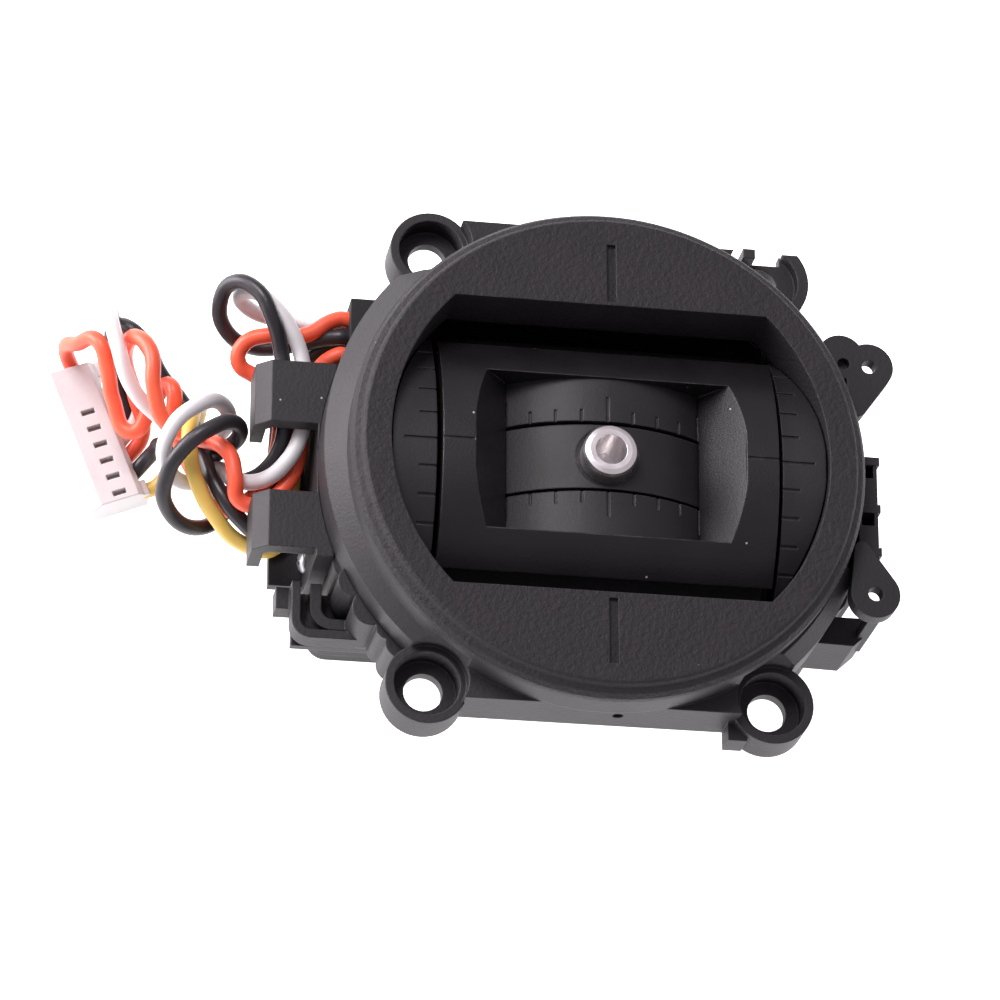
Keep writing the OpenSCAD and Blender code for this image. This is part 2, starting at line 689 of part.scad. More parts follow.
module pitch_yoke() {
  color("#1f1d21") difference() {
    union() {
      arc_x(shell_in_r, yoke_r, -yoke_x, yoke_x, yoke_deg);
      for (s = [-1, 1]) {
        translate([0, 0, axis_z]) rotate([s * (yoke_deg + skirt_deg) / 2, 0, 0]) translate([0, 0, -axis_z])
          arc_x(shell_in_r, skirt_r, -yoke_x + 0.7, yoke_x - 0.7, (skirt_deg - yoke_deg) / 2 + 0.5);
      }
      window_block();
      for (s = [0, 1]) {
        mirror([s, 0, 0]) arc_x(0, shell_in_r + 0.2, plate_x, yoke_x, skirt_deg);
        mirror([s, 0, 0]) rod_x(4, plate_x, yoke_x);
        // Webs that carry the roll bushes.
        mirror([0, s, 0]) intersection() {
          rod_x(shell_in_r + 0.2, -plate_x - 0.1, plate_x + 0.1);
          box([-plate_x - 0.1, window_y, axis_z - 5.3], [plate_x + 0.1, web_y, 12]);
        }
      }
      // Standoffs of the roll sensor's board.
      for (x = [-3.8, 3.8]) {
        rod_y(0.9, web_y - e, 10.9, x);
      }
      // Post that holds the roll spring.
      box([lever_end - 1.3, roll_drive_y - 1.2, -11.4], [lever_end + 1.3, -web_y + e, -10.3]);
    }
    window_prism();
    rod_x(trunnion_r, -20, -plate_x + 0.3);
    rod_x(trunnion_r, plate_x - 0.3, 20);
    rod_y(3, -10, -window_y + 1);
    rod_y(3, window_y - 1, 10);
    rod_y(lever_pin_r, -10, -web_y + 0.8, lever_pin_at, lever_z);
    for (x = [-3.8, 3.8]) {
      rod_y(0.4, web_y - 0.5, 12, x);
    }
    // Index lines on the shell, left and right of the window.
    box([-20, -0.1, axis_z + yoke_r - 0.12], [-window_x - 0.1, 0.1, 12]);
    box([window_x + 0.1, -0.1, axis_z + yoke_r - 0.12], [20, 0.1, 12]);
  }
}

module pitch_pin_left() {
  color("#b9bcc2") {
    rod_x(trunnion_r - 0.01, -cheek_out_x - 0.1, -plate_x);
    rod_x(1.2, -18.9, -cheek_out_x - 0.1 + e);
  }
}

module pitch_pin_right() {
  color("#b9bcc2") rod_x(trunnion_r - 0.01, plate_x, cheek_out_x + 0.1);
}

// A fixed band of the roll scale, above the stick's own band.
module roll_scale() {
  difference() {
    arc_y(band_r - band_t, band_r, slot_y + 0.3, window_y, 39.5);
    for (i = [-4 : 4]) {
      len = (i == 0 || abs(i) == 4) ? 2.4 : 1.3;
      translate([0, slot_y, axis_z]) rotate([0, i * tick_deg, 0])
        box([-0.11, 0, band_r - 0.15], [0.11, len, band_r + 1]);
    }
  }
}

module roll_scale_upper() {
  color("#29272d") roll_scale();
}

module roll_scale_lower() {
  color("#29272d") mirror([0, 1, 0]) roll_scale();
}

// A centring cam along X from x = 0, with its flat up.
module cam(bore_r, length) {
  rotate([0, 90, 0]) difference() {
    cylinder(r = cam_r, h = length);
    translate([0, 0, -1]) cylinder(r = bore_r, h = length + 2);
    box([-cam_r - 1, -5, -1], [-cam_flat, 5, length + 1]);
  }
}

module pitch_cam() {
  color("#d8d5cc") translate([-18.7, 0, axis_z]) cam(1.21, 1.6);
}

module roll_cam() {
  color("#d8d5cc") translate([0, roll_drive_y - 0.85, axis_z]) rotate([0, 0, 90]) cam(roll_pin_r, 1.7);
}

module pitch_magnet() {
  color("#9a9ca1") rod_x(trunnion_r, cheek_out_x + 0.1, cheek_out_x + 1.1);
}

module roll_bush_upper() {
  color("#b08d4f") translate([0, web_y, axis_z]) rotate([90, 0, 0])
    bush(roll_pin_r + run, 2.98, web_y - window_y);
}

module roll_bush_lower() {
  color("#b08d4f") mirror([0, 1, 0]) translate([0, web_y, axis_z]) rotate([90, 0, 0])
    bush(roll_pin_r + run, 2.98, web_y - window_y);
}

module roll_sensor_board() {
  color("#1f5d3a") difference() {
    box([-4.9, 10.9, axis_z - 3.5], [4.9, 11.7, axis_z + 3.5]);
    for (x = [-3.8, 3.8]) {
      rod_y(0.5, 10, 13, x);
    }
  }
}

module roll_sensor_chip() {
  color("#1a1a1a") box([-2, 10.3, axis_z - 2], [2, 10.9, axis_z + 2]);
}

module roll_board_screws() {
  color("#8d9096") for (x = [-3.8, 3.8]) {
    translate([x, 11.7, axis_z]) rotate([-90, 0, 0]) screw(0.8, 0.5, 0.38, 2.6);
  }
}

// ---- Stick ----

module stick_carrier() {
  color("#232126") difference() {
    union() {
      arc_y(band_r - 0.1 - band_t, band_r - 0.1, -slot_y, slot_y, 42);
      box([-2.8, -slot_y, axis_z], [2.8, slot_y, axis_z + band_r - band_t]);
      rod_y(3.6, -window_y + 0.3, window_y - 0.3);
    }
    rod_y(roll_pin_r, -10, 10);
    translate([0, 0, 2]) cylinder(r = stub_r + 0.01, h = 10);
    translate([0, 0, axis_z + band_r - 0.4]) cylinder(r = stub_r + 0.35, h = 10);
  }
}

module roll_shaft() {
  color("#b9bcc2") rod_y(roll_pin_r - 0.01, -10.3, 8.4);
}

module roll_magnet() {
  color("#9a9ca1") rod_y(2, 8.4, 9.6);
}

module stick_stub() {
  color("#d4d2d0") difference() {
    rotate_extrude() polygon([
      [0, 2], [stub_r, 2], [stub_r, stub_z - 0.45], [stub_r - 0.15, stub_z - 0.15], [stub_r - 0.5, stub_z], [0, stub_z]
    ]);
    translate([0, 0, stub_z - 4]) cylinder(r = stub_hole_r, h = 5);
  }
}

// ---- Wires and connector ----

// A tube of round section along a list of points, with one ring at each point.
function unit(v) = v / norm(v);
function heading(p, i) = unit(p[min(i + 1, len(p) - 1)] - p[max(i - 1, 0)]);
function side_of(t, last) = unit(last - (last * t) * t);
function sides_along(p, i, last) =
  let (s = side_of(heading(p, i), last)) (i == len(p) - 1) ? [s] : concat([s], sides_along(p, i + 1, s));

module tube(p, r, n) {
  s = sides_along(p, 0, [0.1, 0.2, 1]);
  rings = [
    for (i = [0 : len(p) - 1])
      let (b = cross(heading(p, i), s[i]))
      for (k = [0 : n - 1]) p[i] + r * (cos(k * 360 / n) * s[i] + sin(k * 360 / n) * b)
  ];
  last = (len(p) - 1) * n;
  walls = [
    for (i = [0 : len(p) - 2], k = [0 : n - 1])
      [i * n + k, (i + 1) * n + k, (i + 1) * n + (k + 1) % n, i * n + (k + 1) % n]
  ];
  ends = [[for (k = [0 : n - 1]) k], [for (k = [n - 1 : -1 : 0]) last + k]];
  polyhedron(points = rings, faces = concat(walls, ends), convexity = 8);
}

module wire(route) {
  tube(route, wire_r, 8);
}

module wire_red_a() {
  color("#e8442c") wire(route_red_a);
}

module wire_red_b() {
  color("#e8442c") wire(route_red_b);
}

module wire_black_a() {
  color("#1d1c20") wire(route_black_a);
}

module wire_black_b() {
  color("#1d1c20") wire(route_black_b);
}

module wire_white() {
  color("#ece8e8") wire(route_white);
}

module wire_yellow() {
  color("#d9bd62") wire(route_yellow);
}

// Places its children at the connector: X across it, Y along it, wires on the +X side.
module at_plug() {
  translate(plug_at) rotate([0, 0, plug_turn]) children();
}

// Places its children at each contact.
module at_contacts() {
  for (i = [-2.5 : 2.5]) {
    translate([contact_row[0], contact_row[1] + i * contact_pitch, 0]) children();
  }
}

module connector_shell() {
  half = plug_size / 2;
  color("#ebe8e6") at_plug() difference() {
    union() {
      translate([0, half[1], 0]) rotate([90, 0, 0]) linear_extrude(plug_size[1]) polygon([
        [-half[0] + 0.9, -half[2]], [half[0], -half[2]], [half[0], half[2] - 0.5], [half[0] - 0.5, half[2]],
        [-half[0] + 0.9, half[2]], [-half[0], half[2] - 1.1], [-half[0], -half[2] + 0.9]
      ]);
      // Guide ribs at both ends.
      box([half[0] - e, -half[1], -half[2]], [half[0] + 0.5, -half[1] + 1.3, half[2] - 0.6]);
      box([half[0] - e, half[1] - 1.3, -half[2]], [half[0] + 0.5, half[1], half[2] - 0.6]);
    }
    at_contacts() box([-0.55, -0.23, half[2] - 1], [0.6, 0.23, half[2] + 1]);
  }
}

module connector_contacts() {
  color("#8c8984") at_plug() at_contacts()
    box([-0.5, -0.19, plug_size[2] / 2 - 1], [0.55, 0.19, plug_size[2] / 2 - 0.6]);
}

front_bezel();
housing();
back_cover();
back_cover_screws();
pitch_scale_left();
pitch_scale_right();
pitch_bush_left();
pitch_bush_right();
cable_guide();
guide_screws();
side_bracket();
left_bracket();
wire_outlet();
pitch_sensor_cover();
pitch_sensor_board();
pitch_sensor_chip();
pitch_lever();
pitch_lever_pin();
pitch_spring();
tension_screw();
tension_nut();
pitch_yoke();
roll_scale_upper();
roll_scale_lower();
pitch_pin_left();
pitch_pin_right();
pitch_cam();
pitch_magnet();
roll_bush_upper();
roll_bush_lower();
roll_sensor_board();
roll_sensor_chip();
roll_board_screws();
roll_lever();
roll_lever_pin();
roll_spring();
stick_carrier();
roll_shaft();
stick_stub();
roll_magnet();
roll_cam();
wire_red_a();
wire_red_b();
wire_black_a();
wire_black_b();
wire_white();
wire_yellow();
connector_shell();
connector_contacts();
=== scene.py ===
"""Two-axis stick gimbal module: its finishes, wires, springs, screws, floor and light."""
import math

import bmesh
import bpy
from mathutils import Matrix, Vector


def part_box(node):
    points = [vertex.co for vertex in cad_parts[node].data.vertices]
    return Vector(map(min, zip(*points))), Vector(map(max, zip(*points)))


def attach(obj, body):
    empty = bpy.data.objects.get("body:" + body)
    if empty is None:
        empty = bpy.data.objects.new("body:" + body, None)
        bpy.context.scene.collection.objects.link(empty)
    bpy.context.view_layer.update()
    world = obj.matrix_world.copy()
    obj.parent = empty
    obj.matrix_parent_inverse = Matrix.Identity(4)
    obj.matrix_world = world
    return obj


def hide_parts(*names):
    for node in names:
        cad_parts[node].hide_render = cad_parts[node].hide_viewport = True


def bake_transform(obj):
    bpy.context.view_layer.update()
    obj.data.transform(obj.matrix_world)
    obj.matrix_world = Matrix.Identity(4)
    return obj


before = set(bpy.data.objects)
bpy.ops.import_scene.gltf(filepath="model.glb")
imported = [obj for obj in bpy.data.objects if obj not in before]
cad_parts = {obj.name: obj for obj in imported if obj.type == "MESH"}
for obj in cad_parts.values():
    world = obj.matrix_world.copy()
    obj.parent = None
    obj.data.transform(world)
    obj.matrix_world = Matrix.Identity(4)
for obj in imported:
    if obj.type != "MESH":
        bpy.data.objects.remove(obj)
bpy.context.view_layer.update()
scene = bpy.context.scene
MM = 0.001

# ---- Camera ----


def place_camera(target, distance, azimuth, elevation, roll, lens):
    """A camera that looks at a point from an azimuth and elevation, turned about its own axis."""
    a, e = math.radians(azimuth), math.radians(elevation)
    back = Vector((math.sin(a) * math.cos(e), -math.cos(a) * math.cos(e), math.sin(e)))
    turn = back.to_track_quat("Z", "Y").to_matrix() @ Matrix.Rotation(math.radians(roll), 3, "Z")
    camera = bpy.data.objects.new("camera", bpy.data.cameras.new("camera"))
    camera.data.lens = lens
    camera.data.clip_start = 0.02
    camera.data.clip_end = 20
    camera.matrix_world = Matrix.Translation(Vector(target) * MM + back * distance * MM) @ turn.to_4x4()
    scene.collection.objects.link(camera)
    scene.camera = camera


place_camera((-7.461, -1.432, 0), 369.585, -21.876, 65.691, 23.93, 166.86)

# ---- Shader sums ----


class Value:
    """A socket in a finish's tree, which can be used in sums."""

    def __init__(self, finish, socket):
        self.finish, self.socket = finish, socket

    def math(self, operation, a, b, clamp=False):
        return self.finish.node("ShaderNodeMath", {"operation": operation, "use_clamp": clamp}, {0: a, 1: b})

    def __add__(self, other):
        return self.math("ADD", self, other)

    def __sub__(self, other):
        return self.math("SUBTRACT", self, other)

    def __mul__(self, other):
        return self.math("MULTIPLY", self, other)

    def __gt__(self, other):
        return self.math("GREATER_THAN", self, other)

    __radd__, __rmul__ = __add__, __mul__

    def clamped(self):
        return self.math("ADD", self, 0.0, clamp=True)


class Finish:
    """A material and its tree, with one method that makes any node."""

    def __init__(self, name, **shader):
        self.material = bpy.data.materials.new(name)
        self.material.use_nodes = True
        self.tree = self.material.node_tree
        self.shader = self.tree.nodes["Principled BSDF"]
        for socket, value in shader.items():
            self.shader.inputs[socket.replace("_", " ")].default_value = value
        self.place = self.node("ShaderNodeTexCoord", out="Object")

    def node(self, kind, settings=None, sockets=None, out=0):
        made = self.tree.nodes.new(kind)
        for key, value in (settings or {}).items():
            if key == "stops":
                ramp = made.color_ramp
                while len(ramp.elements) < len(value):
                    ramp.elements.new(0.5)
                for element, (at, shade) in zip(ramp.elements, value):
                    element.position, element.color = at, shade
            else:
                setattr(made, key, value)
        for key, value in (sockets or {}).items():
            if isinstance(value, Value):
                self.tree.links.new(value.socket, made.inputs[key])
            else:
                made.inputs[key].default_value = value
        return Value(self, made.outputs[out])

    def feed(self, **values):
        for socket, value in values.items():
            self.tree.links.new(value.socket, self.shader.inputs[socket.replace("_", " ")])

    def noise(self, size, detail=2.0, rough=0.5, place=None):
        """Soft noise whose patches are about size mm across."""
        return self.node("ShaderNodeTexNoise", {}, {
            "Vector": place or self.place, "Scale": 1 / (size * MM), "Detail": detail, "Roughness": rough})

    def between(self, value, low, high, to_low=0.0, to_high=1.0):
        """value from low to high becomes to_low to to_high, held at both ends."""
        return self.node("ShaderNodeMapRange", {"clamp": True}, {
            "Value": value, "From Min": low, "From Max": high, "To Min": to_low, "To Max": to_high})

    def mix(self, share, a, b):
        return self.node("ShaderNodeMix", {"data_type": "RGBA"}, {0: share, 6: a, 7: b}, out=2)

    def stretched(self, scale):
        return self.node("ShaderNodeMapping", {}, {"Vector": self.place, "Scale": scale})

    def round_edges(self, radius):
        """The normal with every edge rounded, and a mask of those edges."""
        soft = self.node("ShaderNodeBevel", {"samples": 6}, {"Radius": radius * MM})
        plain = self.node("ShaderNodeNewGeometry", out="Normal")
        same = self.node("ShaderNodeVectorMath", {"operation": "DOT_PRODUCT"}, {0: soft, 1: plain}, out="Value")
        return soft, self.between(same, 0.995, 0.8)

    def bump(self, height, depth, normal=None):
        """A relief whose height, from 0 to 1, stands depth mm high."""
        sockets = {"Height": height, "Strength": 1.0, "Distance": depth * MM}
        if normal:
            sockets["Normal"] = normal
        return self.node("ShaderNodeBump", {}, sockets)


def grey(value, warm=0.0):
    """A grey, which warm moves towards purple."""
    return (value * (1 + warm), value, value * (1 + 1.15 * warm), 1)


# ---- Wires ----

ROUTES = {
    "wire_red_a": [
        (-19.6, 14.4, -2.2), (-20.4, 14.4, -2.2), (-23.2, 12.8, -2.4), (-26, 12.8, -2.8), (-27.9, 12.2, -3.6),
        (-28.2, 10.9, -4.4), (-26.8, 10, -4.8), (-25.2, 9, -4.4), (-24.8, 6.4, -3.8), (-25, 3, -5.6),
        (-26.2, 0.6, -6.6), (-28.8, -0.8, -7.4), (-31, 2.6, -8.8), (-33, 6.4, -7.2), (-33.4, 9.2, -6.2),
        (-34.6, 9, -9), (-36.2, 7, -11), (-37.8, 9.6, -10.4), (-38.4, 11.4, -9), (-39.4, 13.8, -8.4),
        (-40.8, 14.4, -10.6), (-41.6, 15.2, -13.6), (-40.5, 13.8, -16.2)],
    "wire_red_b": [
        (-19.6, 11.2, -2.2), (-20.4, 11.2, -2.2), (-22.2, 9.6, -3.2), (-23.2, 6, -3.4), (-23.2, 3, -3.4),
        (-24.2, 0.2, -3.8), (-26.2, -1.6, -3.8), (-28, -1.4, -3.6), (-28.4, 0.2, -2.8), (-29, 2.4, -3),
        (-31.8, 4.6, -5.4), (-33.8, 5.4, -5.2), (-35, 7.8, -4), (-35.4, 11, -3.6), (-36.4, 12.6, -4.6),
        (-37, 13.2, -7.2), (-36.8, 12.6, -10.6), (-35.8, 11.2, -13), (-34.9, 8.6, -15.2), (-36.3, 6.5, -16.2)],
    "wire_black_a": [
        (-19.6, 12.8, -2.2), (-20.4, 12.8, -2.2), (-24, 13, -5), (-27, 13, -5.8), (-29.2, 13.8, -4.8),
        (-30, 15.4, -2.8), (-29.2, 16.4, -1), (-27.4, 15.4, 0.2), (-26, 13, 0), (-25, 10.4, -1.6),
        (-24.6, 6, -2.2), (-24.8, 3.2, -3.4), (-26, 1.6, -4.8), (-28, 1, -6.8), (-28.2, 0.2, -9.2),
        (-31, -2.2, -8.2), (-33.6, -1.4, -5.8), (-33.8, 0.2, -3.4), (-32.6, 2, -1.6), (-30.8, 3.4, -1),
        (-28.8, 4.6, -2), (-28, 4.4, -4), (-29.2, 3.8, -6.2), (-31, 4.6, -10), (-33.6, 6.2, -11.4),
        (-34, 6.6, -13.8), (-35.75, 5.1, -16.2)],
    "wire_black_b": [
        (-19.6, 12.8, -3.8), (-20.4, 12.8, -3.8), (-23.4, 11.2, -6.6), (-24.8, 8.8, -6.2), (-24.8, 6.2, -5.4),
        (-24.8, 3.2, -7.2), (-25, 0.2, -7.6), (-25.8, -3.2, -6.2), (-27.6, -2.4, -5.4), (-29.4, -0.2, -5),
        (-30.6, 3, -6), (-32, 8.6, -8.8), (-34.2, 11.2, -8.2), (-35.4, 13.6, -8.2), (-36.8, 14.8, -7.8),
        (-38, 15.6, -9.6), (-37.8, 15, -12), (-37, 12.6, -14), (-36.2, 10.6, -15.6), (-37.5, 9.3, -16.2)],
    "wire_white": [
        (-19.6, 14.4, -3.8), (-20.4, 14.4, -3.8), (-24, 15.4, -5.2), (-27, 15.6, -4.6), (-28.4, 16.2, -3),
        (-27.4, 16, -1.6), (-25.8, 14.6, -1), (-24.4, 12.6, -1), (-23.4, 10.4, -1.6), (-23, 6.2, -1.9),
        (-23.4, 3.6, -1.9), (-24.4, 1.6, -2.4), (-26, 0.4, -3.4), (-28, 0.6, -4.6), (-29.8, 2.6, -7.2),
        (-31.8, 1, -6.6), (-34, 1.8, -3.8), (-33.6, 3.8, -1.8), (-32, 5.4, -1.4), (-29.8, 6.8, -3.2),
        (-28.8, 6.2, -6.4), (-31, 5.8, -9), (-34, 7.4, -8.6), (-36.6, 9, -6.4), (-38, 12.2, -5.2),
        (-38.6, 15.8, -7), (-38, 17.2, -11.2), (-36.4, 14, -14.2), (-35.4, 10.4, -15.4), (-36.9, 7.9, -16.2)],
    "wire_yellow": [
        (-19.6, 11.2, -3.8), (-20.4, 11.2, -3.8), (-22.2, 9.8, -5.2), (-23.2, 5.8, -5.2), (-23.4, 2.8, -5.4),
        (-23.6, -0.2, -6), (-24.6, -3.8, -7.4), (-27.4, -3.6, -7.2), (-29.6, -2, -6), (-31.2, 0.2, -4.8),
        (-32, 3, -4), (-31.6, 7, -5.6), (-30.9, 8.6, -8), (-31, 8, -11), (-32.2, 6.4, -13.6),
        (-33.4, 4.4, -15.6), (-35.2, 3.75, -16.2)],
}
WIRE_D = 1.3


def insulation(name, base, streak, rough=0.32):
    """Extruded wire insulation: glossy, with long die lines, faint smudges and a fine skin."""
    f = Finish(name, IOR=1.48)
    smudge = f.between(f.noise(3.5, 3), 0.35, 0.7)
    skin = f.noise(0.35, 2)
    f.feed(
        Base_Color=f.mix(smudge * 0.55, base, streak),
        Roughness=rough + smudge * 0.12 + skin * 0.08,
        Normal=f.bump(skin + f.noise(1.4, 2) * 1.5, 0.012),
    )
    return f.material


def add_wire(name, material):
    """One wire as a smooth curve through its route."""
    curve = bpy.data.curves.new(name, "CURVE")
    curve.dimensions = "3D"
    curve.bevel_depth = WIRE_D / 2 * MM
    curve.bevel_resolution = 5
    curve.resolution_u = 10
    curve.use_fill_caps = True
    spline = curve.splines.new("BEZIER")
    route = [Vector(p) * MM for p in ROUTES[name]]
    spline.bezier_points.add(len(route) - 1)
    for point, at in zip(spline.bezier_points, route):
        point.co = at
        point.handle_left_type = point.handle_right_type = "AUTO"
    wire = bpy.data.objects.new(name + "_lead", curve)
    scene.collection.objects.link(wire)
    curve.materials.append(material)
    bpy.context.view_layer.update()
    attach(wire, "base")
    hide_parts(name)


RED = insulation("orange_red_insulation", (0.80, 0.085, 0.035, 1), (0.86, 0.13, 0.06, 1))
BLACK = insulation("black_insulation", (0.012, 0.011, 0.013, 1), (0.03, 0.027, 0.032, 1), 0.28)
WHITE = insulation("white_insulation", (0.68, 0.67, 0.67, 1), (0.58, 0.56, 0.57, 1), 0.36)
YELLOW = insulation("mustard_insulation", (0.66, 0.45, 0.09, 1), (0.72, 0.50, 0.13, 1))
for wire_name, wire_finish, wire_slot in [
    ("wire_red_a", RED, "wire_red"), ("wire_red_b", RED, "wire_red"),
    ("wire_black_a", BLACK, "wire_black"), ("wire_black_b", BLACK, "wire_black"),
    ("wire_white", WHITE, "wire_white"), ("wire_yellow", YELLOW, "wire_yellow"),
]:
    add_wire(wire_name, wire_finish)

# ---- Finishes of the moulded and metal pieces ----


def moulded(name, dark, light, rough, grain, depth, edge, dust=0.0, radius=0.16, ior=1.4):
    """Moulded plastic: spark-eroded grain of that size and depth in mm, cloudy colour, worn edges with a painted
    highlight, dust specks.
    """
    f = Finish(name, IOR=ior)
    soft, edges = f.round_edges(radius)
    clouds = f.between(f.noise(4.5, 3, 0.6), 0.3, 0.72)
    fine = f.noise(grain, 3, 0.65)
    pits = f.between(f.noise(grain * 1.9, 2), 0.36, 0.62)
    # Edges are mixed towards the lighter edge colour: partly wear, partly a painted highlight of lit edges.
    wear_and_painted_highlight = (edges * f.between(f.noise(1.3, 3), 0.32, 0.62)).clamped()
    base = f.mix((clouds * 0.6 + fine * 0.5).clamped(), dark, light)
    base = f.mix(wear_and_painted_highlight, base, edge)
    roughness = rough + clouds * 0.06 + fine * 0.1 - wear_and_painted_highlight * 0.1
    if dust:
        cell = f.node("ShaderNodeTexVoronoi", {"feature": "F1"}, {
            "Vector": f.place, "Scale": 1 / (1.1 * MM), "Randomness": 1.0})
        chosen = f.node("ShaderNodeSeparateColor", {}, {0: Value(f, cell.socket.node.outputs["Color"])})
        speck = f.between(cell, 0.10, 0.045) * (chosen > 1 - dust)
        base = f.mix(speck, base, (0.42, 0.39, 0.40, 1))
        roughness = roughness + speck * 0.3
    f.feed(Base_Color=base, Roughness=roughness.clamped(), Normal=f.bump(fine * 0.6 + pits * 0.4, depth, soft))
    return f.material


def turned_metal(name, base, tint, rough, lines=0.12, depth=0.004):
    """Turned or drawn metal: fine tool lines, smudges and brighter edges."""
    f = Finish(name, Metallic=1.0)
    soft, edges = f.round_edges(0.08)
    smudge = f.between(f.noise(1.6, 3), 0.3, 0.7)
    tool = f.noise(lines, 3, 0.6, f.stretched((0.12, 0.12, 1)))
    f.feed(
        Base_Color=f.mix((smudge * 0.7 + edges * 0.2).clamped(), base, tint),
        Roughness=(rough + smudge * 0.12 + tool * 0.12).clamped(),
        Normal=f.bump(tool + smudge * 0.3, depth, soft),
    )
    return f.material


# The edge colour of each finish is partly wear and partly a painted highlight on its lit edges.
FACE = moulded(
    "grained_face_plastic", grey(0.008, 0.14), grey(0.015, 0.14), 0.58, 0.2, 0.075, grey(0.04, 0.12), 0.010)
BODY = moulded(
    "body_plastic", grey(0.010, 0.10), grey(0.018, 0.10), 0.46, 0.15, 0.020, grey(0.05, 0.1), 0.006)
SCALE = moulded(
    "scale_plastic", grey(0.008, 0.10), grey(0.014, 0.10), 0.42, 0.12, 0.010, grey(0.05, 0.1), 0.012)
YOKE = moulded(
    "yoke_plastic", grey(0.004, 0.12), grey(0.008, 0.12), 0.36, 0.12, 0.010, grey(0.06, 0.1), 0.07)
CAM = moulded(
    "cam_plastic", (0.60, 0.57, 0.50, 1), (0.70, 0.67, 0.60, 1), 0.40, 0.2, 0.006, (0.76, 0.74, 0.68, 1))
RUBBER = moulded("outlet_rubber", grey(0.010), grey(0.018), 0.75, 0.25, 0.020, grey(0.03))
CHIP = moulded("chip_epoxy", grey(0.012), grey(0.02), 0.6, 0.08, 0.008, grey(0.04))
PLUG = moulded(
    "plug_nylon", (0.56, 0.55, 0.55, 1), (0.66, 0.65, 0.65, 1), 0.42, 0.3, 0.008, (0.74, 0.73, 0.73, 1))
BRONZE = turned_metal("sintered_bronze", (0.52, 0.33, 0.13, 1), (0.62, 0.42, 0.19, 1), 0.38)
STEEL = turned_metal("screw_steel", (0.40, 0.41, 0.43, 1), (0.55, 0.56, 0.58, 1), 0.30)
PIN = turned_metal("ground_pin_steel", (0.55, 0.56, 0.58, 1), (0.66, 0.67, 0.69, 1), 0.20)
SPRING = turned_metal("spring_steel", (0.50, 0.51, 0.53, 1), (0.62, 0.63, 0.65, 1), 0.25)
MAGNET = turned_metal("plated_magnet", (0.48, 0.48, 0.50, 1), (0.60, 0.60, 0.62, 1), 0.22)
STUB = turned_metal("bright_stub_metal", (0.72, 0.69, 0.69, 1), (0.85, 0.82, 0.82, 1), 0.20, 0.10, 0.010)
CONTACT = turned_metal("tinned_contact", (0.30, 0.29, 0.28, 1), (0.46, 0.45, 0.44, 1), 0.35)


def solder_mask(name):
    """A green board: copper tracks under the mask, and glass weave at its edges."""
    f = Finish(name, IOR=1.5)
    soft, edges = f.round_edges(0.08)
    track = f.node("ShaderNodeTexWave", {"wave_type": "BANDS", "bands_direction": "Z"}, {
        "Vector": f.place, "Scale": 1 / (5 * MM), "Distortion": 6.0, "Detail": 1.0, "Detail Scale": 0.6})
    copper = f.between(track, 0.6, 0.7)
    weave = f.noise(0.3, 2)
    base = f.mix(copper * 0.7, (0.010, 0.085, 0.035, 1), (0.03, 0.17, 0.07, 1))
    f.feed(
        Base_Color=f.mix(edges, base, (0.34, 0.33, 0.2, 1)),
        Roughness=0.32 + weave * 0.15,
        Normal=f.bump(copper + weave * 0.3, 0.02, soft),
    )
    return f.material


BOARD = solder_mask("green_board")

FINISHES = {
    "front_bezel": FACE, "housing": BODY, "back_cover": BODY, "back_cover_screws": STEEL,
    "pitch_scale_left": SCALE, "pitch_scale_right": SCALE, "pitch_bush_left": BRONZE, "pitch_bush_right": BRONZE,
    "cable_guide": BODY, "guide_screws": STEEL, "side_bracket": BODY, "left_bracket": BODY, "wire_outlet": RUBBER,
    "pitch_sensor_cover": BODY, "pitch_sensor_board": BOARD, "pitch_sensor_chip": CHIP,
    "pitch_lever": CAM, "pitch_lever_pin": PIN, "pitch_spring": SPRING, "tension_screw": STEEL, "tension_nut": BRONZE,
    "pitch_yoke": YOKE, "roll_scale_upper": SCALE, "roll_scale_lower": SCALE,
    "pitch_pin_left": PIN, "pitch_pin_right": PIN, "pitch_cam": CAM, "pitch_magnet": MAGNET,
    "roll_bush_upper": BRONZE, "roll_bush_lower": BRONZE, "roll_sensor_board": BOARD, "roll_sensor_chip": CHIP,
    "roll_board_screws": STEEL, "roll_lever": CAM, "roll_lever_pin": PIN, "roll_spring": SPRING,
    "stick_carrier": SCALE, "roll_shaft": PIN, "stick_stub": STUB, "roll_magnet": MAGNET, "roll_cam": CAM,
    "wire_red_a": RED, "wire_red_b": RED, "wire_black_a": BLACK, "wire_black_b": BLACK,
    "wire_white": WHITE, "wire_yellow": YELLOW, "connector_shell": PLUG, "connector_contacts": CONTACT,
}
for node_name, finish in FINISHES.items():
    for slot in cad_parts[node_name].material_slots:
        slot.material = finish

# ---- Springs and screws, made by Geometry Nodes ----


